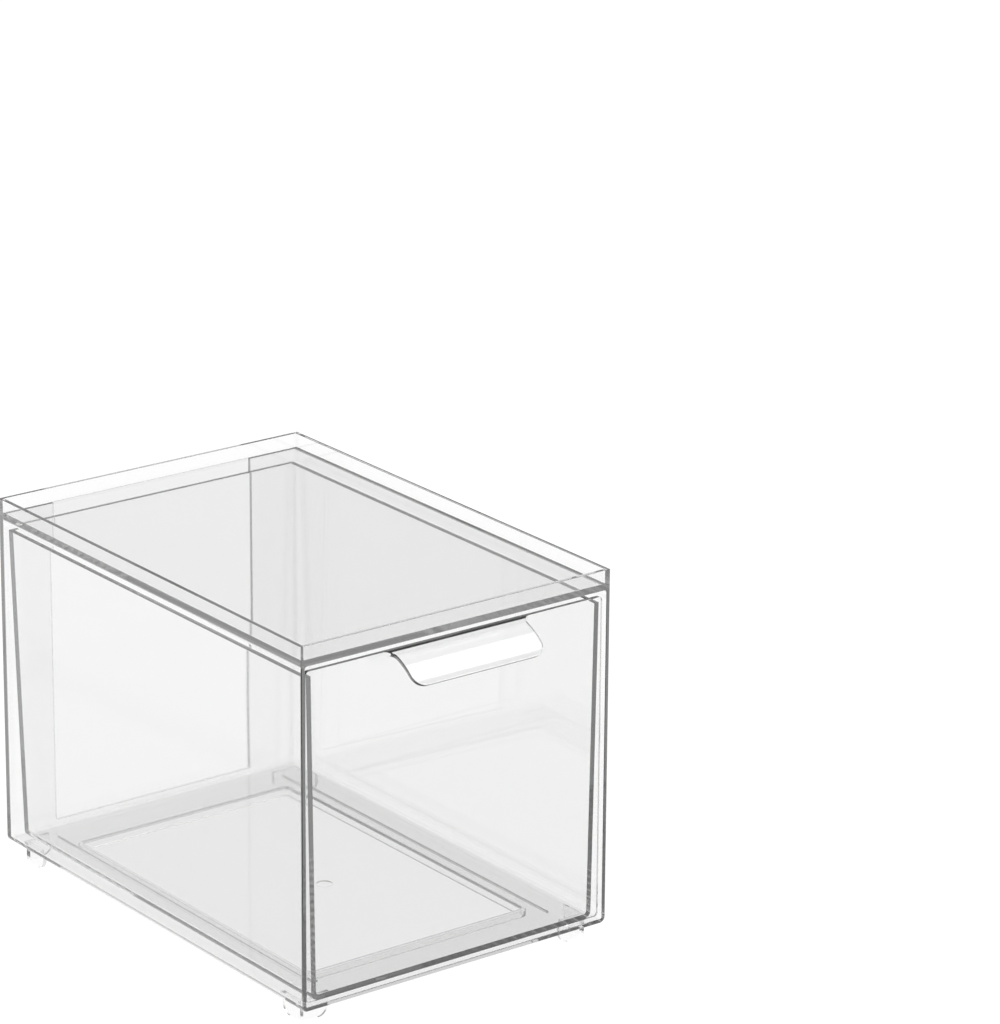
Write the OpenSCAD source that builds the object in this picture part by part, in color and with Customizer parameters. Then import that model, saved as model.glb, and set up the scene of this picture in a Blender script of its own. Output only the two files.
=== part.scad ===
// Stackable drawer box: a clear case, open at the front, and the clear drawer that slides in it.
// Millimetres, +Z up, and the drawer opens towards -Y. The origin lies under the middle of the
// whole outline, pull included, on the surface that the feet stand on.

/* [Case] */
// Width of the case across its side walls
case_w = 200; // [160:1:280]
// Depth of the case from its open front to its back face
case_d = 288; // [220:1:380]
// Height of the case from its underside to the top of its rim
case_h = 203; // [130:1:280]
// Thickness of the side walls, the rim and the back flanges
wall = 2.4; // [2.1:0.1:3.2]
// Thickness of the floor
floor_t = 2.5; // [1.8:0.1:3.5]
// Thickness of the top panel
panel_t = 3.2; // [2:0.1:4.5]
// Height of the rim above the top panel
rim_h = 8.2; // [5:0.1:12]
// Radius of the two long bottom edges
bottom_r = 3.3; // [2.5:0.1:6]
// Radius where the side walls meet the top panel, inside
ceiling_r = 1.5; // [0.5:0.1:8]
// Radius of the bottom edge along the front and the back
sill_r = 0.8; // [0.5:0.1:2]
// Radius of the upright corners, outside
corner_r = 0.6; // [0.4:0.1:2]
// Radius of the upright corners, inside
inner_r = 0.4; // [0.2:0.1:2]
// Radius where the rim meets the top panel
tray_r = 0.4; // [0.2:0.1:2]
// Width of each flange at the open back
flange_w = 34.2; // [15:0.1:50]
// Height of the lip along the foot of the back opening
back_lip = 3.5; // [1:0.1:10]
// Radius of the upper corners of the back opening
back_r = 0.5; // [0.5:0.5:8]

/* [Floor opening] */
// From the side of the case to the edge of the opening
open_side = 30; // [28:0.5:60]
// From the front or the back of the case to the edge of the opening
open_end = 34.8; // [33:0.1:90]
// Corner radius of the opening, seen from above
open_r = 2.5; // [1:0.5:15]
// Thickness of the lip round the opening
lip_t = 2.5; // [1.8:0.1:3.5]
// How far the lip reaches below the underside
lip_drop = 3.5; // [1:0.1:6]

/* [Feet] */
// Length of each of the two plates that make a foot
foot_len = 17; // [12:0.5:20]
// Thickness of the plates
foot_t = 2.2; // [1.5:0.1:4]
// Radius of the lower far corner of each plate
foot_r = 6; // [1:0.5:7]
// Free space beside a foot in the rim of the box below it
foot_side_gap = 3.8; // [0.5:0.1:6]
// Free space before or behind a foot in the rim of the box below it
foot_end_gap = 8; // [0.5:0.1:10]
// How far the feet keep an upper box above the rim of the one below
stack_gap = 2.5; // [0.1:0.1:4]

/* [Runners] */
// From the side of the case to the middle of a runner
runner_side = 23.4; // [18:0.1:25]
// Width of a runner
runner_w = 1.4; // [1.2:0.1:3]
// Height of a runner above the floor
runner_h = 1.2; // [0.8:0.1:3]
// From the front or the back of the case to the end of a runner
runner_end = 22; // [10:1:40]
// Running gap between the runners and the drawer
run_gap = 0.2; // [0.1:0.05:0.5]

/* [Drawer front] */
// How far the front sits behind the front edge of the case
front_recess = 1.8; // [0.5:0.1:5]
// Thickness of the front
front_t = 2.6; // [2:0.1:4]
// Gap beside the front, on each side
front_side_gap = 1.2; // [0.8:0.1:2.5]
// Gap under the front
front_floor_gap = 1.3; // [0.8:0.1:2]
// Gap between the front and the top panel
front_top_gap = 3.6; // [2:0.1:8]
// Corner radius of the front
front_r = 2.5; // [1:0.5:8]

/* [Drawer bin] */
// Thickness of the bin's walls
bin_wall = 3; // [1.8:0.1:3.5]
// Thickness of the bin's floor
bin_floor_t = 2.5; // [1.8:0.1:3.5]
// How far the top of the walls lies below the top of the front
bin_drop = 3.3; // [1:0.1:10]
// Gap beside the bin at its top, on each side
bin_side_gap = 2.7; // [1.5:0.1:5]
// How much further in each side lies at the bottom of the bin
bin_side_draft = 2.6; // [0.5:0.1:6]
// Gap between the bin and the back flanges at the top
bin_back_gap = 0.5; // [0.4:0.1:3]
// How much further forward the back lies at the bottom of the bin
bin_back_draft = 5; // [0.5:0.1:10]
// Outer radius of the bin's bottom edges
bin_r = 3.5; // [2:0.1:8]
// Inner radius of the bin's bottom edges
bin_cove_r = 2; // [0.5:0.1:5]
// Outer radius of the bin's upright corners
bin_corner_r = 1.2; // [0.8:0.1:6]
// Inner radius of the bin's upright corners
bin_inner_r = 0.4; // [0.4:0.1:2]
// Diameter of the moulding mark under the bin's floor
mark_d = 9; // [4:0.5:15]
// Depth of the moulding mark
mark_depth = 0.5; // [0.2:0.1:1]
// From the front of the case to the moulding mark
mark_y = 122.5; // [60:0.5:160]

/* [Pull] */
// Width of the pull at its straight sides
pull_w = 85; // [50:1:120]
// How far the pull reaches out from the drawer's front
pull_reach = 22; // [15:0.5:30]
// How far the tip of the pull lies below the top of the front
pull_fall = 12.85; // [8:0.05:20]
// Thickness of the pull
pull_t = 2.4; // [1.8:0.1:3.5]
// Angle through which the pull curves downwards
pull_bend = 38; // [20:1:60]
// Corner radius of the pull's tip
pull_r = 7.5; // [3:0.5:12]
// Radius of the flare where the pull leaves the front
pull_flare = 6; // [2:0.5:10]

/* [Hidden] */

eps = 0.01;
over = 1;
true_curve = 96;
hull_fn = 32;
hull_step = 15;
corner_signs = [-1, 1];

// Heights, from the surface that the feet stand on
foot_h = rim_h + stack_gap;
under_z = foot_h;
floor_z = under_z + floor_t;
rim_z = under_z + case_h;
panel_z = rim_z - rim_h;
ceiling_z = panel_z - panel_t;
lip_z = under_z - lip_drop;

// The pull's upper side is an arc from the top of the front to its tip
pull_arc_r = norm([pull_reach, pull_fall]) / (2 * sin(pull_bend / 2));
pull_start = atan2(pull_fall, pull_reach) - pull_bend / 2;
pull_tip = pull_start + pull_bend;
pull_half = pull_w / 2;

// Plan: the pull stands out of the front, and the origin is the middle of the whole outline
pull_nose = pull_t / 2 * (1 - sin(pull_tip));
pull_out = pull_reach + pull_nose - front_recess;
case_x = case_w / 2;
front_y = (pull_out - case_d) / 2;
back_y = front_y + case_d;
inner_x = case_x - wall;
flange_y = back_y - wall;

// Drawer
front_face_y = front_y + front_recess;
front_back_y = front_face_y + front_t;
front_x = inner_x - front_side_gap;
front_low_z = floor_z + front_floor_gap;
front_top_z = ceiling_z - front_top_gap;
bin_low_z = floor_z + runner_h + run_gap;
bin_top_z = front_top_z - bin_drop;
bin_top_x = inner_x - bin_side_gap;
bin_low_x = bin_top_x - bin_side_draft;
bin_top_y = flange_y - bin_back_gap;
bin_low_y = bin_top_y - bin_back_draft;

// Rectangle from [x0, y0] to [x1, y1], its lower corners of radius r_low and its upper of r_high
module rounded(x0, y0, x1, y1, r_low, r_high) {
    difference() {
        translate([x0, y0]) square([x1 - x0, y1 - y0]);
        for (right = [0, 1]) {
            translate([right ? x1 : x0, y0]) mirror([right, 0]) corner_waste(r_low);
            translate([right ? x1 : x0, y1]) mirror([right, 0]) mirror([0, 1]) corner_waste(r_high);
        }
    }
}

// What rounding takes off a corner at the origin
module corner_waste(r) {
    if (r > 0) difference() {
        translate([-over, -over]) square(r + over);
        translate([r, r]) circle(r, $fn = true_curve);
    }
}

// What a fillet of radius r adds in a corner at the origin
module corner_fill(r) {
    difference() {
        square(r);
        translate([r, r]) circle(r, $fn = true_curve);
    }
}

// Carries a section drawn in X and Z along Y
module along_y(y0, y1) {
    translate([0, y1, 0]) rotate([90, 0, 0]) linear_extrude(y1 - y0) children();
}

// Carries a section drawn in Y and Z along X, to both sides of the middle
module along_x(half) {
    translate([-half, 0, 0]) rotate([90, 0, 90]) linear_extrude(2 * half) children();
}

// Carries a plan along Z
module along_z(z0, z1) {
    translate([0, 0, z0]) linear_extrude(z1 - z0) children();
}

// Outside of the case, from its underside to the top of its rim
module case_block() {
    intersection() {
        along_y(front_y, back_y) rounded(-case_x, under_z, case_x, rim_z, bottom_r, 0);
        along_x(case_x) rounded(front_y, under_z, back_y, rim_z, sill_r, 0);
        along_z(under_z, rim_z) rounded(-case_x, front_y, case_x, back_y, corner_r, corner_r);
    }
}

// Shallow tray that the rim makes above the top panel, where the feet of another box stand
module rim_tray() {
    intersection() {
        along_y(front_y + wall, flange_y)
            rounded(-inner_x, panel_z, inner_x, rim_z + over, tray_r, 0);
        along_x(inner_x)
            rounded(front_y + wall, panel_z, flange_y, rim_z + over, tray_r, 0);
        along_z(panel_z, rim_z + over)
            rounded(-inner_x, front_y + wall, inner_x, flange_y, inner_r, inner_r);
    }
}

// Room for the drawer, with the opening between the back flanges
module drawer_room() {
    intersection() {
        along_y(front_y - over, flange_y)
            rounded(-inner_x, floor_z, inner_x, ceiling_z, bottom_r - wall, ceiling_r);
        along_z(floor_z, ceiling_z) rounded(-inner_x, front_y - over, inner_x, flange_y, 0, inner_r);
    }
    along_y(flange_y - over, back_y + over)
        rounded(flange_w - case_x, floor_z + back_lip, case_x - flange_w, ceiling_z, 0, back_r);
}

// Plan of the floor opening, its edge moved outwards by grow
module opening_plan(grow) {
    x = case_x - open_side + grow;
    rounded(-x, front_y + open_end - grow, x, back_y - open_end + grow, open_r + grow, open_r + grow);
}

// The four feet, each with its corner towards the nearest corner of the case
module feet() {
    for (right = [0, 1], rear = [0, 1]) mirror([right, 0, 0])
        translate([foot_side_gap - inner_x, rear ? flange_y - foot_end_gap : front_y + wall + foot_end_gap, 0])
            mirror([0, rear, 0]) foot();
}

// One foot: two plates that meet in a corner at the origin and run along +X and along +Y
module foot() {
    for (turned = [0, 1]) mirror([turned, -turned, 0]) along_y(0, foot_t) foot_plate();
}

// Side view of a foot's plate, with the lower far corner rounded
module foot_plate() {
    difference() {
        square([foot_len, under_z + floor_t / 2]);
        translate([foot_len, 0]) mirror([1, 0]) corner_waste(foot_r);
    }
}

// The two runners on the floor, with round ends
module runners() {
    end_y = runner_end + runner_w / 2;
    for (side = corner_signs) translate([side * (case_x - runner_side), 0, 0])
        along_z(floor_z - floor_t / 2, floor_z + runner_h) {
            translate([-runner_w / 2, front_y + end_y]) square([runner_w, case_d - 2 * end_y]);
            for (y = [front_y + end_y, back_y - end_y])
                translate([0, y]) circle(runner_w / 2, $fn = true_curve);
        }
}

// Solid shape of the bin, its faces moved inwards by inset, its underside raised by lift, and its
// bottom edges of radius edge_r
module bin_block(inset, lift, edge_r, top_z) {
    draft = (top_z - bin_low_z) / (bin_top_z - bin_low_z);
    hull() {
        for (turn = [0 : hull_step : 90])
            bin_ring(inset + edge_r * (1 - sin(turn)), 0, bin_low_z + lift + edge_r * (1 - cos(turn)));
        bin_ring(inset, draft, top_z - eps);
    }
}

// Thin layer of the bin at height z: tuck is how far it lies inside the bin's outer faces, and
// draft is 0 for the width and depth at the bottom and 1 for those at the top
module bin_ring(tuck, draft, z) {
    x = bin_low_x + draft * bin_side_draft - tuck;
    y = bin_low_y + draft * bin_back_draft - tuck;
    r = max(bin_corner_r - tuck, bin_inner_r);
    for (side = corner_signs) {
        translate([side * (x - r), y - r, z]) cylinder(h = eps, r = r, $fn = hull_fn);
        translate([side * (x - r) - r, front_back_y, z]) cube([2 * r, eps, eps]);
    }
}

// Flat front of the drawer
module drawer_front() {
    along_y(front_face_y, front_back_y)
        rounded(-front_x, front_low_z, front_x, front_top_z, front_r, front_r);
}

// Curved lip that stands out of the front's top edge, for the fingers
module pull() {
    intersection() {
        along_x(case_x) pull_section();
        along_z(front_low_z, front_top_z + over) pull_plan();
    }
}

// Side view of the pull: a band under the arc, from the front's top edge to a round tip
module pull_section() {
    root = [sin(pull_start), cos(pull_start)];
    tip = [sin(pull_tip), cos(pull_tip)];
    translate([front_face_y + pull_arc_r * root[0], front_top_z - pull_arc_r * root[1]]) mirror([1, 0]) {
        intersection() {
            difference() {
                circle(pull_arc_r, $fn = true_curve);
                circle(pull_arc_r - pull_t, $fn = true_curve);
            }
            polygon(2 * pull_arc_r * [[0, 0], tip, root]);
        }
        translate((pull_arc_r - pull_t / 2) * tip) circle(pull_t / 2, $fn = true_curve);
    }
}

// The pull seen from above: straight sides, round corners at the tip and a flare at the root
module pull_plan() {
    rounded(-pull_half, front_face_y - pull_reach - pull_nose, pull_half, front_back_y, pull_r, 0);
    for (right = [0, 1]) mirror([right, 0]) translate([pull_half, front_face_y]) {
        mirror([0, 1]) corner_fill(pull_flare);
        square([pull_flare, front_t]);
    }
}

module case() {
    color([0.88, 0.91, 0.92, 0.4]) difference() {
        union() {
            difference() {
                case_block();
                rim_tray();
                drawer_room();
            }
            along_z(lip_z, under_z + floor_t / 2) opening_plan(lip_t);
            feet();
            runners();
        }
        along_z(lip_z - over, floor_z + over) opening_plan(0);
    }
}

module drawer() {
    color([0.84, 0.87, 0.89, 0.4]) difference() {
        union() {
            bin_block(0, 0, bin_r, bin_top_z);
            drawer_front();
            pull();
        }
        bin_block(bin_wall, bin_floor_t, bin_cove_r, bin_top_z + over);
        translate([0, front_y + mark_y, bin_low_z - over])
            cylinder(h = over + mark_depth, d = mark_d, $fn = true_curve);
    }
}

case();
drawer();
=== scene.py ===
import math

import bmesh
import bpy
from bpy.props import FloatProperty, FloatVectorProperty, PointerProperty
from mathutils import Matrix, Vector


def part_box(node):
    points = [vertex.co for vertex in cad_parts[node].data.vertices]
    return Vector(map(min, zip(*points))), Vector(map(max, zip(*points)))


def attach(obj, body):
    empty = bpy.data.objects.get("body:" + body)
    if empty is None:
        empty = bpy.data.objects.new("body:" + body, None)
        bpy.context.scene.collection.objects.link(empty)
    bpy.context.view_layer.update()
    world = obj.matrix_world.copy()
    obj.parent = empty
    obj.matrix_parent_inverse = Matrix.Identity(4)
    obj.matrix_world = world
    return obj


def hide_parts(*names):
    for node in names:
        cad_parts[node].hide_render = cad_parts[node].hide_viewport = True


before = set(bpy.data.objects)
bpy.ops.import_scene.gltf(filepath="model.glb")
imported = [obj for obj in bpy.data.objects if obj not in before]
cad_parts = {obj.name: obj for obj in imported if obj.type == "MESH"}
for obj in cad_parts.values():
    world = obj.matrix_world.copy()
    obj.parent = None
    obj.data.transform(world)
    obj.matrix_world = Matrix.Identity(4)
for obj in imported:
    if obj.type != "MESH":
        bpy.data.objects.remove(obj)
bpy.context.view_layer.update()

bl_info = {
    "name": "Stackable drawer box",
    "version": (1, 0, 0),
    "blender": (4, 5, 0),
    "location": "View3D > Sidebar > Drawer box",
    "description": "Builds a clear stackable box with a pull-out drawer, and a bright table to show it on",
    "category": "Add Mesh",
}

MM = 0.001
CASE_LOW, CASE_HIGH = (Vector(corner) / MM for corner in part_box("case"))
DRAWER_LOW, DRAWER_HIGH = (Vector(corner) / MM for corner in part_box("drawer"))

RIGHT_ANGLE = math.pi / 2
SHARP = 0.02  # radius of a corner that is drawn sharp, in mm
PAST = 1.0  # how far a cutting shape reaches past what it cuts, in mm
WELD = 0.001  # points nearer than this become one, in mm
CREASE = math.radians(40)  # an edge that turns by more than this is shaded sharp


# ---------------------------------------------------------------- sizes and colours

def linear(code):
    """Linear colour of an sRGB hex value such as "f0f0f0"."""
    channels = [int(code[i:i + 2], 16) / 255 for i in (0, 2, 4)]
    return tuple(c / 12.92 if c <= 0.04045 else ((c + 0.055) / 1.055) ** 2.4 for c in channels)


def colour(name, description, code):
    """A colour that a user may change, from its sRGB hex value."""
    return FloatVectorProperty(name=name, description=description, default=linear(code), subtype="COLOR",
                               min=0, max=1)


def size(name, description, default, low=0.1):
    """A length in millimetres that a user may change."""
    return FloatProperty(name=name, description=description, default=default, min=low, precision=2)


class CaseSizes(bpy.types.PropertyGroup):
    """Colour of the case, and its sizes in millimetres."""
    tint: colour("Tint", "Colour of the clear plastic", "f9f9f9")
    wall: size("Wall", "Thickness of the side walls, the rim and the back flanges", 2.4)
    floor: size("Floor", "Thickness of the floor", 2.5)
    panel: size("Top panel", "Thickness of the top panel", 3.2)
    rim: size("Rim", "Height of the rim above the top panel", 8.2)
    under: size("Clearance", "Height of the underside above the table", 10.7)
    bottom_radius: size("Bottom radius", "Radius of the two long bottom edges", 3.3)
    ceiling_radius: size("Ceiling radius", "Radius where the side walls meet the top panel, inside", 1.5)
    sill_radius: size("Sill radius", "Radius of the bottom edge along the front and the back", 0.8)
    corner_radius: size("Corner radius", "Radius of the upright corners, outside", 0.6)
    inner_radius: size("Inner corner radius", "Radius of the upright corners, inside", 0.4)
    tray_radius: size("Tray radius", "Radius where the rim meets the top panel", 0.4)
    flange: size("Back flange", "Width of each flange at the open back", 34.2)
    back_lip: size("Back lip", "Height of the lip along the foot of the back opening", 3.5)
    back_radius: size("Back opening radius", "Radius of the upper corners of the back opening", 0.5)
    open_side: size("Side margin", "From the side of the case to the floor opening", 30.0)
    open_end: size("End margin", "From the front or the back of the case to the floor opening", 34.8)
    open_radius: size("Opening radius", "Corner radius of the floor opening", 2.5)
    lip: size("Lip", "Thickness of the lip round the floor opening", 2.5)
    lip_drop: size("Lip drop", "How far the lip reaches below the underside", 3.5)
    foot_length: size("Foot length", "Length of each of the two plates that make a foot", 17.0)
    foot_wall: size("Foot thickness", "Thickness of the plates", 2.2)
    foot_radius: size("Foot radius", "Radius of the lower far corner of each plate", 6.0)
    foot_side: size("Foot side margin", "From the side of the case to a foot", 6.2)
    foot_end: size("Foot end margin", "From the front or the back of the case to a foot", 10.4)
    runner_side: size("Runner place", "From the side of the case to the middle of a runner", 23.4)
    runner_end: size("Runner end", "From the front or the back of the case to the end of a runner", 22.0)
    runner_width: size("Runner width", "Width of a runner", 1.4)
    runner_height: size("Runner height", "Height of a runner above the floor", 1.2)
    edge: size("Edge radius", "Radius that the mould leaves on every sharp edge", 0.35)


class DrawerSizes(bpy.types.PropertyGroup):
    """Colour of the drawer, and its sizes in millimetres."""
    tint: colour("Tint", "Colour of the clear plastic", "f9f9f9")
    recess: size("Recess", "How far the front sits behind the front edge of the case", 1.8)
    front: size("Front", "Thickness of the front", 2.6)
    front_radius: size("Front radius", "Corner radius of the front", 2.5)
    wall: size("Bin wall", "Thickness of the bin's walls", 3.0)
    floor: size("Bin floor", "Thickness of the bin's floor", 2.5)
    drop: size("Bin drop", "How far the bin's rim lies below the top of the front", 3.3)
    lift: size("Bin lift", "How far the bin's underside lies above that of the front", 0.1)
    top_inset: size("Bin inset", "How much narrower the bin's rim is than the front, on each side", 1.5)
    side_draft: size("Side draft", "How much further in each side lies at the bottom of the bin", 2.6)
    back_draft: size("Back draft", "How much further forward the back lies at the bottom of the bin", 5.0)
    bin_radius: size("Bin radius", "Outer radius of the bin's bottom edges", 3.5)
    cove_radius: size("Cove radius", "Inner radius of the bin's bottom edges", 2.0)
    corner_radius: size("Corner radius", "Outer radius of the bin's upright corners", 1.2)
    inner_radius: size("Inner corner radius", "Inner radius of the bin's upright corners", 0.4)
    mark: size("Mark", "Diameter of the round moulding mark under the bin", 9.0)
    mark_depth: size("Mark depth", "Depth of the moulding mark", 0.5)
    mark_place: size("Mark place", "From the front of the case to the moulding mark", 122.5)
    pull_width: size("Pull width", "Width of the pull at its straight sides", 85.0)
    pull_reach: size("Pull reach", "How far the pull reaches out from the front", 22.0)
    pull_fall: size("Pull fall", "How far the tip of the pull lies below the top of the front", 12.85)
    pull_thickness: size("Pull thickness", "Thickness of the pull", 2.4)
    pull_bend: FloatProperty(name="Pull bend", description="Angle through which the pull curves downwards",
                             default=math.radians(38), subtype="ANGLE")
    pull_radius: size("Pull radius", "Corner radius of the pull's tip", 7.5)
    pull_flare: size("Pull flare", "Radius of the flare where the pull leaves the front", 6.0)
    edge: size("Edge radius", "Radius that the mould leaves on every sharp edge", 0.35)


class StageSettings(bpy.types.PropertyGroup):
    """The bright table and the camera."""
    glow: FloatProperty(name="Table glow", description="Brightness of the table top, lit from below",
                        default=1.0, min=0, max=1)
    table: colour("Table colour", "Colour of the table top under the studio's light", "555555")
    lens: FloatProperty(name="Lens", description="Focal length of the camera", default=178.9, unit="CAMERA")


# ---------------------------------------------------------------- outlines and solids, in millimetres

def arc(cx, cy, r, start, end, steps):
    """Points of an arc from start to end, both in right angles."""
    return [(cx + r * math.cos(a), cy + r * math.sin(a))
            for a in ((start + (end - start) * i / steps) * RIGHT_ANGLE for i in range(steps + 1))]


def rounded(x0, y0, x1, y1, r_low, r_high, steps=12):
    """Rectangle, anticlockwise, whose two lower corners have radius r_low and two upper r_high."""
    low, high = max(r_low, SHARP), max(r_high, SHARP)
    return (arc(x1 - low, y0 + low, low, 3, 4, steps) + arc(x1 - high, y1 - high, high, 0, 1, steps)
            + arc(x0 + high, y1 - high, high, 1, 2, steps) + arc(x0 + low, y0 + low, low, 2, 3, steps))


def edge_levels(r, steps=4):
    """How far in from a face, and how far in from the sides, the points of a rounded edge lie."""
    turns = [i / steps * RIGHT_ANGLE for i in range(steps + 1)]
    return [(r * (1 - math.cos(a)), r * (1 - math.sin(a))) for a in turns]


def tuck(r, depth):
    """How far in from the sides an edge of radius r lies at a depth below the face that it ends at."""
    return 0.0 if depth >= r else r - math.sqrt(r * r - (r - depth) ** 2)


def piece_from(name, bm):
    """Object at the origin that holds the solid in bm, which is in millimetres."""
    bmesh.ops.recalc_face_normals(bm, faces=bm.faces)
    bmesh.ops.scale(bm, vec=(MM, MM, MM), verts=bm.verts)
    mesh = bpy.data.meshes.new(name)
    bm.to_mesh(mesh)
    bm.free()
    piece = bpy.data.objects.new(name, mesh)
    bpy.context.scene.collection.objects.link(piece)
    return piece


def add_rings(bm, rings):
    """Fills bm with a closed solid through rings of as many points each, with a flat face at either end."""
    rings = [[bm.verts.new(point) for point in ring] for ring in rings]
    count = len(rings[0])
    for lower, upper in zip(rings, rings[1:]):
        for i in range(count):
            j = (i + 1) % count
            bm.faces.new((lower[i], lower[j], upper[j], upper[i]))
    bm.faces.new(rings[0])
    bm.faces.new(rings[-1])


def loft(name, rings):
    """Object that is the closed solid through the rings."""
    bm = bmesh.new()
    add_rings(bm, rings)
    return piece_from(name, bm)


def across_y(outline, y):
    return [(a, y, b) for a, b in outline]


def across_z(outline, z):
    return [(a, b, z) for a, b in outline]


def bake(piece):
    """Turns the piece's modifiers into plain mesh."""
    depsgraph = bpy.context.evaluated_depsgraph_get()
    mesh = bpy.data.meshes.new_from_object(piece.evaluated_get(depsgraph), depsgraph=depsgraph)
    old = piece.data
    piece.modifiers.clear()
    piece.data = mesh
    mesh.name = piece.name
    bpy.data.meshes.remove(old)
    return piece


def combine(piece, other, operation):
    """Adds other to the piece or cuts it away, and removes other."""
    modifier = piece.modifiers.new("Combine", "BOOLEAN")
    modifier.operation = operation
    modifier.solver = "EXACT"
    modifier.object = other
    bake(piece)
    mesh = other.data
    bpy.data.objects.remove(other)
    bpy.data.meshes.remove(mesh)


def shade_moulded(piece):
    """Welds the seams that combining leaves and shades the piece smooth, with its flat faces flat."""
    bm = bmesh.new()
    bm.from_mesh(piece.data)
    bmesh.ops.remove_doubles(bm, verts=bm.verts, dist=WELD * MM)
    bmesh.ops.recalc_face_normals(bm, faces=bm.faces)
    bmesh.ops.triangulate(bm, faces=[face for face in bm.faces if len(face.verts) > 4])
    for face in bm.faces:
        face.smooth = True
    bm.to_mesh(piece.data)
    bm.free()
    piece.data.set_sharp_from_angle(angle=CREASE)
    weights = piece.modifiers.new("Even shading", "WEIGHTED_NORMAL")
    weights.keep_sharp = True
    weights.weight = 100
    bake(piece)


# ---------------------------------------------------------------- material nodes

def add_node(tree, kind, links=None, **settings):
    """Adds a node. settings name its properties or its inputs, and links maps its inputs to sockets."""
    node = tree.nodes.new(kind)
    for key, value in settings.items():
        if hasattr(node, key):
            setattr(node, key, value)
        else:
            node.inputs[key.replace("_", " ")].default_value = value
    for key, socket in (links or {}).items():
        tree.links.new(socket, node.inputs[key])
    return node


def empty_material(name):
    material = bpy.data.materials.new(name)
    material.use_nodes = True
    material.node_tree.nodes.clear()
    return material


# Flow waves, in mm: moulded sheet is never quite flat, so what shows through it is bent a little
WAVE_LENGTH = 55.56
WAVE_HEIGHT = 0.06


def clear_plastic(name, tint):
    """Clear styrene, injection-moulded in a polished mould: colourless, glossy, sharp to look through."""
    material = empty_material(name)
    tree = material.node_tree
    place = add_node(tree, "ShaderNodeTexCoord")
    waves = add_node(tree, "ShaderNodeTexNoise", {"Vector": place.outputs["Object"]},
                     Scale=1 / (WAVE_LENGTH * MM), Detail=1.0, Roughness=0.4)
    bump = add_node(tree, "ShaderNodeBump", {"Height": waves.outputs["Fac"]},
                    Strength=1.0, Distance=WAVE_HEIGHT * MM)
    surface = add_node(tree, "ShaderNodeBsdfPrincipled", {"Normal": bump.outputs["Normal"]},
                       Base_Color=(*tint, 1), Roughness=0.02, IOR=1.49, Transmission_Weight=1.0)
    add_node(tree, "ShaderNodeOutputMaterial", {"Surface": surface.outputs["BSDF"]})
    return material


# ---------------------------------------------------------------- Geometry Nodes for what repeats

def new_tree(name, sizes):
    """Empty tree with a named length input for each of sizes, and its input and output nodes."""
    tree = bpy.data.node_groups.new(name, "GeometryNodeTree")
    for label in sizes:
        socket = tree.interface.new_socket(name=label, in_out="INPUT", socket_type="NodeSocketFloat")
        socket.default_value = 1.0
    tree.interface.new_socket(name="Material", in_out="INPUT", socket_type="NodeSocketMaterial")
    tree.interface.new_socket(name="Geometry", in_out="OUTPUT", socket_type="NodeSocketGeometry")
    return tree, tree.nodes.new("NodeGroupInput").outputs, tree.nodes.new("NodeGroupOutput").inputs


def grow(name, tree, values, material):
    """Object made by the tree, as plain mesh."""
    piece = bpy.data.objects.new(name, bpy.data.meshes.new(name))
    bpy.context.scene.collection.objects.link(piece)
    modifier = piece.modifiers.new(name, "NODES")
    modifier.node_group = tree
    for item in tree.interface.items_tree:
        if item.in_out == "INPUT" and item.name in values:
            modifier[item.identifier] = values[item.name]
        elif item.in_out == "INPUT" and item.name == "Material":
            modifier[item.identifier] = material
    return bake(piece)


def reckon(tree, operation, *terms):
    """Result of a math node, whose terms are sockets or numbers."""
    node = tree.nodes.new("ShaderNodeMath")
    node.operation = operation
    for socket, term in zip(node.inputs, terms):
        if isinstance(term, (int, float)):
            socket.default_value = term
        else:
            tree.links.new(term, socket)
    return node.outputs[0]


def at(tree, **axes):
    """Vector whose named axes are the given sockets, and whose others are 0."""
    return add_node(tree, "ShaderNodeCombineXYZ", axes).outputs[0]


def swept(tree, width, height, radius, steps, start, end):
    """Straight bar from start to end: a width by height section, each corner rounded in steps points."""
    section = add_node(tree, "GeometryNodeCurvePrimitiveQuadrilateral", {"Width": width, "Height": height})
    eased = add_node(tree, "GeometryNodeFilletCurve", {"Curve": section.outputs[0], "Radius": radius},
                     mode="POLY", Count=steps)
    path = add_node(tree, "GeometryNodeCurvePrimitiveLine", {"Start": start, "End": end})
    curves = {"Curve": path.outputs["Curve"], "Profile Curve": eased.outputs["Curve"]}
    bar = add_node(tree, "GeometryNodeCurveToMesh", curves, Fill_Caps=True)
    return bar.outputs["Mesh"]


def place_copies(tree, shape, count, spot, given, result, turns=None):
    """Puts count copies of the shape where spot says, turned about Z by turns, and ends the tree."""
    points = add_node(tree, "GeometryNodePoints", {"Position": spot}, Count=count)
    copies = add_node(tree, "GeometryNodeInstanceOnPoints",
                      {"Points": points.outputs[0], "Instance": shape})
    if turns is not None:
        tree.links.new(at(tree, Z=turns), copies.inputs["Rotation"])
    real = add_node(tree, "GeometryNodeRealizeInstances", {"Geometry": copies.outputs["Instances"]})
    named = add_node(tree, "GeometryNodeSetMaterial",
                     {"Geometry": real.outputs["Geometry"], "Material": given["Material"]})
    tree.links.new(named.outputs["Geometry"], result["Geometry"])


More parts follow.
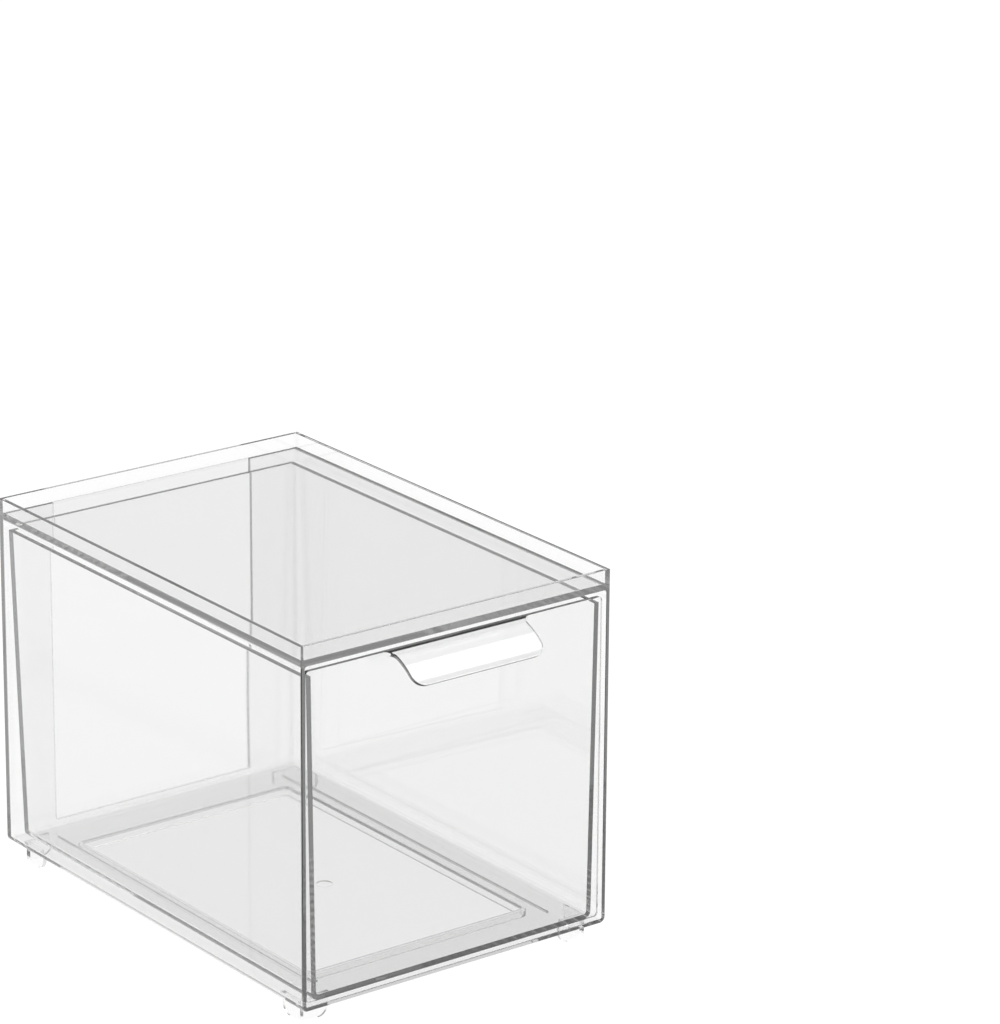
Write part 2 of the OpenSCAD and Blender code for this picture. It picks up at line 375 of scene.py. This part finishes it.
def feet_tree():
    """Four feet at the corners of a rectangle about the middle, each of two plates that form a corner."""
    sizes = ("Half width", "Half depth", "Length", "Wall", "Height", "Radius", "Edge")
    tree, given, result = new_tree("Feet", sizes)
    index = add_node(tree, "GeometryNodeInputIndex").outputs[0]
    # One plate runs along X. Its section is its side view, whose first corner is the lower far one
    first = reckon(tree, "COMPARE", index, 0, 0.5)
    radius = reckon(tree, "MAXIMUM", reckon(tree, "MULTIPLY", first, given["Radius"]), given["Edge"])
    mid_x = reckon(tree, "MULTIPLY", given["Length"], 0.5)
    mid_z = reckon(tree, "MULTIPLY", given["Height"], 0.5)
    plate = swept(tree, given["Length"], given["Height"], radius, 8,
                  at(tree, X=mid_x, Z=mid_z), at(tree, X=mid_x, Y=given["Wall"], Z=mid_z))
    # The other is the same plate, turned to run along Y
    moved = {"Geometry": plate, "Translation": at(tree, X=given["Wall"])}
    other = add_node(tree, "GeometryNodeTransform", moved, Rotation=(0, 0, RIGHT_ANGLE))
    foot = add_node(tree, "GeometryNodeMeshBoolean", operation="UNION", solver="EXACT")
    for mesh in (plate, other.outputs["Geometry"]):
        tree.links.new(mesh, foot.inputs["Mesh 2"])
    # A quarter turn from each corner to the next: -X -Y, +X -Y, +X +Y, -X +Y
    turns = reckon(tree, "MULTIPLY", index, RIGHT_ANGLE)
    towards = reckon(tree, "ADD", turns, 2.5 * RIGHT_ANGLE)
    x, y = (reckon(tree, "MULTIPLY", reckon(tree, "SIGN", reckon(tree, wave, towards)), given[half])
            for wave, half in (("COSINE", "Half width"), ("SINE", "Half depth")))
    place_copies(tree, foot.outputs["Mesh"], 4, at(tree, X=x, Y=y), given, result, turns)
    return tree


RUNNER_ROUND = 0.45  # radius of a runner's edges, as a share of its width


def runners_tree():
    """Two straight runners beside the middle, rounded along their edges."""
    tree, given, result = new_tree("Runners", ("Half gap", "Length", "Width", "Height"))
    index = add_node(tree, "GeometryNodeInputIndex").outputs[0]
    x = reckon(tree, "MULTIPLY", reckon(tree, "MULTIPLY_ADD", index, 2.0, -1.0), given["Half gap"])
    half = reckon(tree, "MULTIPLY", given["Length"], 0.5)
    radius = reckon(tree, "MULTIPLY", given["Width"], RUNNER_ROUND)
    bar = swept(tree, given["Width"], given["Height"], radius, 6,
                at(tree, Y=reckon(tree, "MULTIPLY", half, -1.0)), at(tree, Y=half))
    place_copies(tree, bar, 2, at(tree, X=x), given, result)
    return tree


# ---------------------------------------------------------------- case

class DRAWERBOX_OT_case(bpy.types.Operator):
    """Build the case: open floor with its lip, walls, top panel and rim, back flanges, feet and runners"""
    bl_idname = "drawer_box.case"
    bl_label = "Case"

    def execute(self, context):
        s = context.scene.case_sizes
        x, front, back = CASE_HIGH.x, CASE_LOW.y, CASE_HIGH.y
        under, top, e = s.under, CASE_HIGH.z, s.edge
        inner, flange = x - s.wall, back - s.wall
        panel = top - s.rim
        ceiling = panel - s.panel
        floor = under + s.floor

        # Block: its upright corners, its sills and its top edge have radii of their own
        depths = sorted({d for r, steps in ((s.corner_radius, 8), (s.sill_radius, 4), (e, 4))
                         for d, _ in edge_levels(r, steps)})
        rings = []
        for y, d in [(front + d, d) for d in depths] + [(back - d, d) for d in reversed(depths)]:
            side, low, crest = tuck(s.corner_radius, d), tuck(s.sill_radius, d), tuck(e, d)
            rings.append(across_y(rounded(side - x, under + low, x - side, top - crest,
                                          s.bottom_radius - side, e), y))
        case = loft("Outer_box", rings)

        # Tray on top, with a small radius at its floor, and its rim eased
        rings = [(panel + d, -t) for d, t in edge_levels(s.tray_radius)]
        rings += [(top - d, t) for d, t in reversed(edge_levels(e))] + [(top + PAST, e)]
        rings = [across_z(rounded(-inner - t, front + s.wall - t, inner + t, flange + t,
                                  s.inner_radius + t, s.inner_radius + t, 6), z) for z, t in rings]
        combine(case, loft("tray", rings), "DIFFERENCE")

        # Room for the drawer, eased at the front edge, with round upright corners at the back
        rings = [(front - PAST, e, 0)] + [(front + d, t, 0) for d, t in edge_levels(e)]
        rings += [(flange - d, 0, t) for d, t in reversed(edge_levels(s.inner_radius))]
        rings = [across_y(rounded(u - inner - t, floor - t, inner + t - u, ceiling + t,
                                  s.bottom_radius - s.wall + t, s.ceiling_radius + t), y)
                 for y, t, u in rings]
        combine(case, loft("room", rings), "DIFFERENCE")

        # Opening between the back flanges, above its lip. Its top is flush with the ceiling inside
        gap = x - s.flange
        rings = [(flange - PAST, e, 0)] + [(flange + d, t, 0) for d, t in edge_levels(e)]
        rings += [(back - d, t, t) for d, t in reversed(edge_levels(e))] + [(back + PAST, e, e)]
        rings = [across_y(rounded(-gap - t, floor + s.back_lip - t, gap + t, ceiling + u,
                                  0, s.back_radius), y)
                 for y, t, u in rings]
        combine(case, loft("back opening", rings), "DIFFERENCE")

        # Opening in the floor, with a lip round it that reaches below the underside
        lip = under - s.lip_drop
        outside = [(lip + d, s.lip - t) for d, t in edge_levels(e)] + [(under + s.floor / 2, s.lip)]
        inside = [(lip - PAST, e)] + [(lip + d, t) for d, t in edge_levels(e)]
        inside += [(floor - d, t) for d, t in reversed(edge_levels(e))] + [(floor + PAST, e)]
        for rings, operation in ((outside, "UNION"), (inside, "DIFFERENCE")):
            rings = [across_z(rounded(s.open_side - x - t, front + s.open_end - t, x - s.open_side + t,
                                      back - s.open_end + t, s.open_radius + t, s.open_radius + t), z)
                     for z, t in rings]
            combine(case, loft("lip", rings), operation)

        # Feet and runners, made about the middle of the case
        plastic = clear_plastic("Clear styrene, case", s.tint)
        middle, half_depth = (front + back) / 2, (back - front) / 2
        feet = {"Half width": x - s.foot_side, "Half depth": half_depth - s.foot_end,
                "Length": s.foot_length, "Wall": s.foot_wall, "Height": under + s.floor / 2,
                "Radius": s.foot_radius, "Edge": e}
        runners = {"Half gap": x - s.runner_side, "Length": 2 * (half_depth - s.runner_end),
                   "Width": s.runner_width, "Height": 2 * s.runner_height}
        for name, tree, sizes, z in (("Feet", feet_tree(), feet, 0),
                                     ("Runners", runners_tree(), runners, floor)):
            part = grow(name, tree, {key: length * MM for key, length in sizes.items()}, plastic)
            part.data.transform(Matrix.Translation((0, middle * MM, z * MM)))
            combine(case, part, "UNION")
        shade_moulded(case)
        case.data.materials.clear()
        case.data.materials.append(plastic)
        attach(case, "case")
        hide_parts("case")
        return {"FINISHED"}


# ---------------------------------------------------------------- drawer

CURVE_STEPS = 10  # parts that a round corner of the bin or the pull is drawn in
BIN_RIM = 0.5  # radius of both edges of the bin's rim, in mm


def bin_solid(name, s, inset, lift, radius, face, flare):
    """Tapered bin: flat at the front, round along its floor and up its back corners.

    Its walls lie further in by inset, its floor higher by lift, and its rim turns out by flare.
    """
    top_x, top_y = DRAWER_HIGH.x - s.top_inset - inset, DRAWER_HIGH.y - inset
    low_z, top_z = DRAWER_LOW.z + s.lift, DRAWER_HIGH.z - s.drop
    levels = [(low_z + lift + d, t) for d, t in edge_levels(radius, CURVE_STEPS)]
    levels += [(top_z - d, -math.copysign(t, flare)) for d, t in reversed(edge_levels(abs(flare)))]
    if flare > 0:
        levels.append((top_z + PAST, -flare))
    rings = []
    for z, inwards in levels:
        up = 1 - max(0.0, (z - low_z) / (top_z - low_z))
        hx, hy = top_x - up * s.side_draft - inwards, top_y - up * s.back_draft - inwards
        turn = max(s.corner_radius - inset - inwards, s.inner_radius)
        ring = [(-hx, face), (hx, face)] + arc(hx - turn, hy - turn, turn, 0, 1, CURVE_STEPS)
        rings.append(across_z(ring + arc(turn - hx, hy - turn, turn, 1, 2, CURVE_STEPS), z))
    return loft(name, rings)


PULL_ROOT = 0.6  # how deep the pull starts inside the front, as a share of the front's thickness
PULL_NOSE = 0.37  # how far the tip reaches past the pull's arc, as a share of the pull's thickness
PULL_EDGE = 0.7  # radius of the pull's edges, in mm
PULL_CUTS = 24  # parts that the pull's arc is drawn in
ON_CUT = 0.0001  # a point that lies nearer to a cut than this counts as on it, in mm


def pull_solid(s, face):
    """The pull: a flat rounded plate, bent along an arc that starts at the top of the front."""
    top = DRAWER_HIGH.z
    radius = math.hypot(s.pull_reach, s.pull_fall) / (2 * math.sin(s.pull_bend / 2))
    start = math.atan2(s.pull_fall, s.pull_reach) - s.pull_bend / 2
    cy, cz = face + radius * math.sin(start), top - radius * math.cos(start)
    length = radius * s.pull_bend + s.pull_thickness * PULL_NOSE
    half, flare, corner = s.pull_width / 2, s.pull_flare, s.pull_radius
    root = s.front * PULL_ROOT

    def plan(u):
        """Outline of the plate, u further in: across, and along from the front's face to the tip."""
        right = [(half + flare, -root), (half + flare, -u)]
        right += arc(half + flare, flare, flare + u, 3, 2, CURVE_STEPS)[1:]
        right += arc(half - corner, length - corner, corner - u, 0, 1, CURVE_STEPS)
        return right + [(-a, b) for a, b in reversed(right)]

    edge = edge_levels(PULL_EDGE, 5)
    levels = [(-d, u) for d, u in edge] + [(-s.pull_thickness + d, u) for d, u in reversed(edge)]
    bm = bmesh.new()
    add_rings(bm, [across_z(plan(u), w) for w, u in levels])
    for i in range(1, PULL_CUTS):
        bmesh.ops.bisect_plane(bm, geom=bm.verts[:] + bm.edges[:] + bm.faces[:], dist=ON_CUT,
                               plane_co=(0, length * i / PULL_CUTS, 0), plane_no=(0, 1, 0))
    for vert in bm.verts:
        across, along, out = vert.co
        turn, r = start + max(along, 0.0) / radius, radius + out
        vert.co = (across, cy - r * math.sin(turn) - min(along, 0.0), cz + r * math.cos(turn))
    return piece_from("pull", bm)


class DRAWERBOX_OT_drawer(bpy.types.Operator):
    """Build the drawer: flat front, tapered bin and the curved pull"""
    bl_idname = "drawer_box.drawer"
    bl_label = "Drawer"

    def execute(self, context):
        s = context.scene.drawer_sizes
        x, low, top, e = DRAWER_HIGH.x, DRAWER_LOW.z, DRAWER_HIGH.z, s.edge
        face = CASE_LOW.y + s.recess
        levels = [(face + d, t) for d, t in edge_levels(e)]
        levels += [(face + s.front - d, t) for d, t in reversed(edge_levels(e))]
        drawer = loft("Drawer", [across_y(rounded(t - x, low + t, x - t, top - t, s.front_radius - t,
                                                  s.front_radius - t), y) for y, t in levels])
        combine(drawer, pull_solid(s, face), "UNION")
        outside = bin_solid("bin", s, 0, 0, s.bin_radius, face + s.front / 2, -BIN_RIM)
        combine(drawer, outside, "UNION")
        inside = bin_solid("bin inside", s, s.wall, s.floor, s.cove_radius, face + s.front, BIN_RIM)
        combine(drawer, inside, "DIFFERENCE")
        mark_spot = Matrix.Translation((0, CASE_LOW.y + s.mark_place, low + s.lift))
        bm = bmesh.new()
        bmesh.ops.create_cone(bm, cap_ends=True, segments=48, radius1=s.mark / 2, radius2=s.mark / 2,
                              depth=2 * s.mark_depth, matrix=mark_spot)
        combine(drawer, piece_from("mark", bm), "DIFFERENCE")
        shade_moulded(drawer)
        drawer.data.materials.clear()
        drawer.data.materials.append(clear_plastic("Clear styrene, drawer", s.tint))
        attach(drawer, "drawer")
        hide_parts("drawer")
        return {"FINISHED"}


# ---------------------------------------------------------------- stage

# Brightness of the studio by height, from 0 at the horizon to 1 overhead: a bright table's edge,
# darker walls, and a ceiling that is brighter round its edge than in the middle
STUDIO = ((0.0, 1.0), (0.2, 1.0), (0.33, 0.62), (0.45, 0.4), (0.65, 0.4), (0.8, 1.2), (0.94, 0.5))

# Soft box: the way to it, half its width as an angle, and its brightness
SOFT_BOX = Vector((0.575, -0.16, 0.8)).normalized()
SOFT_BOX_HALF = math.radians(13)
SOFT_BOX_LIGHT = 3.0

# Painted shade, standing in for the light that the plastic swallows: the share of the table's and the
# studio's light that is left after a number of bounces inside the plastic, which darkens the plastic's
# edges
BOUNCE_SHADE = ((0, 1.0), (1, 1.0), (2, 0.8), (8, 0.3), (20, 0.36), (44, 0.2))

# Most times that a ray is thrown back, that it passes through a face, and both together
MOST_BOUNCES = 64
MOST_PASSES = 24
MOST_TURNS = 80

TABLE_REACH = 6000  # from the middle of the table to its edge, in mm
SIGHT = 50  # how far the camera sees, in metres

# Camera: its place in mm, and in degrees its turn from +Y towards +X, its tilt down and its roll
CAMERA_PLACE = Vector((-1485.8, -2109.8, 1120.1))
CAMERA_ANGLES = (37.42, 19.058, 0.475)


def ramp_of(tree, value, stops):
    """Grey ramp over the value, with a level at each stop."""
    node = add_node(tree, "ShaderNodeValToRGB", {"Fac": value})
    while len(node.color_ramp.elements) < len(stops):
        node.color_ramp.elements.new(0.5)
    for element, (where, level) in zip(node.color_ramp.elements, stops):
        element.position = where
        element.color = (level, level, level, 1)
    return node.outputs["Color"]


class DRAWERBOX_OT_stage(bpy.types.Operator):
    """Set up the bright table, the studio light and the camera"""
    bl_idname = "drawer_box.stage"
    bl_label = "Stage"

    def painted_bounce_shade(self, tree, path):
        """Painted shade on the plastic's edges: share of the light that is left, from how often a ray was
        thrown back inside the plastic.
        """
        bounces = reckon(tree, "DIVIDE", path.outputs["Glossy Depth"], MOST_BOUNCES)
        return ramp_of(tree, bounces, [(count / MOST_BOUNCES, level) for count, level in BOUNCE_SHADE])

    def execute(self, context):
        s = context.scene.stage_settings
        scene = context.scene
        bm = bmesh.new()
        bmesh.ops.create_grid(bm, x_segments=2, y_segments=2, size=TABLE_REACH)
        floor = piece_from("Table", bm)
        # An even white, to which the studio's light adds only a little
        material = empty_material("Opal acrylic, lit from below")
        tree = material.node_tree
        path = add_node(tree, "ShaderNodeLightPath")
        seen = reckon(tree, "MAXIMUM", path.outputs["Is Camera Ray"], path.outputs["Is Glossy Ray"])
        seen = reckon(tree, "MAXIMUM", seen, path.outputs["Is Transmission Ray"])
        # Painted shade: seen through the plastic, the table's glow dims with every bounce inside it,
        # darkening the plastic's edges
        strength = reckon(tree, "MULTIPLY", seen, self.painted_bounce_shade(tree, path))
        glow = add_node(tree, "ShaderNodeEmission", {"Strength": strength},
                        Color=(s.glow, s.glow, s.glow, 1))
        matt = add_node(tree, "ShaderNodeBsdfDiffuse", Color=(*s.table, 1))
        both = add_node(tree, "ShaderNodeAddShader", {0: glow.outputs[0], 1: matt.outputs[0]})
        add_node(tree, "ShaderNodeOutputMaterial", {"Surface": both.outputs[0]})
        floor.data.materials.append(material)

        world = bpy.data.worlds.new("Studio")
        scene.world = world
        world.use_nodes = True
        tree = world.node_tree
        tree.nodes.clear()
        way = add_node(tree, "ShaderNodeTexCoord").outputs["Generated"]
        height = add_node(tree, "ShaderNodeSeparateXYZ", {"Vector": way}).outputs["Z"]
        path = add_node(tree, "ShaderNodeLightPath")
        # Painted shade: the studio's walls and soft box dim with every bounce inside the plastic, darkening
        # its edges
        bounce_shade = self.painted_bounce_shade(tree, path)
        walls = add_node(tree, "ShaderNodeBackground",
                         {"Color": ramp_of(tree, height, STUDIO), "Strength": bounce_shade})
        towards = add_node(tree, "ShaderNodeVectorMath", {0: way}, operation="DOT_PRODUCT")
        towards.inputs[1].default_value = SOFT_BOX
        lit = reckon(tree, "GREATER_THAN", towards.outputs["Value"], math.cos(SOFT_BOX_HALF))
        box = add_node(tree, "ShaderNodeBackground", {"Strength": reckon(tree, "MULTIPLY", lit, bounce_shade)},
                       Color=(SOFT_BOX_LIGHT, SOFT_BOX_LIGHT, SOFT_BOX_LIGHT, 1))
        studio = add_node(tree, "ShaderNodeAddShader", {0: walls.outputs[0], 1: box.outputs[0]})
        white = add_node(tree, "ShaderNodeBackground", Color=(1, 1, 1, 1), Strength=1.0)
        mixed = add_node(tree, "ShaderNodeMixShader",
                         {0: path.outputs["Is Camera Ray"], 1: studio.outputs[0], 2: white.outputs[0]})
        add_node(tree, "ShaderNodeOutputWorld", {"Surface": mixed.outputs[0]})

        camera = bpy.data.objects.new("Camera", bpy.data.cameras.new("Camera"))
        scene.collection.objects.link(camera)
        azimuth, tilt, roll = (math.radians(angle) for angle in CAMERA_ANGLES)
        ahead = Vector((math.sin(azimuth) * math.cos(tilt), math.cos(azimuth) * math.cos(tilt),
                        -math.sin(tilt)))
        right = Vector((math.cos(azimuth), -math.sin(azimuth), 0))
        up = right.cross(ahead)
        turned_right = math.cos(roll) * right + math.sin(roll) * up
        turned_up = math.cos(roll) * up - math.sin(roll) * right
        turn = Matrix((turned_right, turned_up, -ahead)).transposed().to_4x4()
        camera.matrix_world = Matrix.Translation(CAMERA_PLACE * MM) @ turn
        camera.data.lens = s.lens
        camera.data.clip_end = SIGHT
        scene.camera = camera

        scene.view_settings.view_transform = "Standard"
        scene.cycles.max_bounces = MOST_TURNS
        scene.cycles.transmission_bounces = MOST_PASSES
        scene.cycles.glossy_bounces = MOST_BOUNCES
        return {"FINISHED"}


# ---------------------------------------------------------------- panel and registration

class DRAWERBOX_PT_panel(bpy.types.Panel):
    """Lists the pieces in the sidebar"""
    bl_label = "Drawer box"
    bl_space_type = "VIEW_3D"
    bl_region_type = "UI"
    bl_category = "Drawer box"

    def draw(self, context):
        for operator, settings in (("case", "case_sizes"), ("drawer", "drawer_sizes"),
                                   ("stage", "stage_settings")):
            box = self.layout.box()
            box.operator("drawer_box." + operator)
            group = getattr(context.scene, settings)
            for key in group.__annotations__:
                box.prop(group, key)


CLASSES = (CaseSizes, DrawerSizes, StageSettings, DRAWERBOX_OT_case, DRAWERBOX_OT_drawer,
           DRAWERBOX_OT_stage, DRAWERBOX_PT_panel)
GROUPS = {"case_sizes": CaseSizes, "drawer_sizes": DrawerSizes, "stage_settings": StageSettings}


def register():
    for cls in CLASSES:
        bpy.utils.register_class(cls)
    for name, group in GROUPS.items():
        setattr(bpy.types.Scene, name, PointerProperty(type=group))


def unregister():
    for name in GROUPS:
        delattr(bpy.types.Scene, name)
    for cls in reversed(CLASSES):
        bpy.utils.unregister_class(cls)


def main():
    register()
    bpy.ops.drawer_box.stage()
    bpy.ops.drawer_box.case()
    bpy.ops.drawer_box.drawer()


if __name__ == "__main__":
    main()
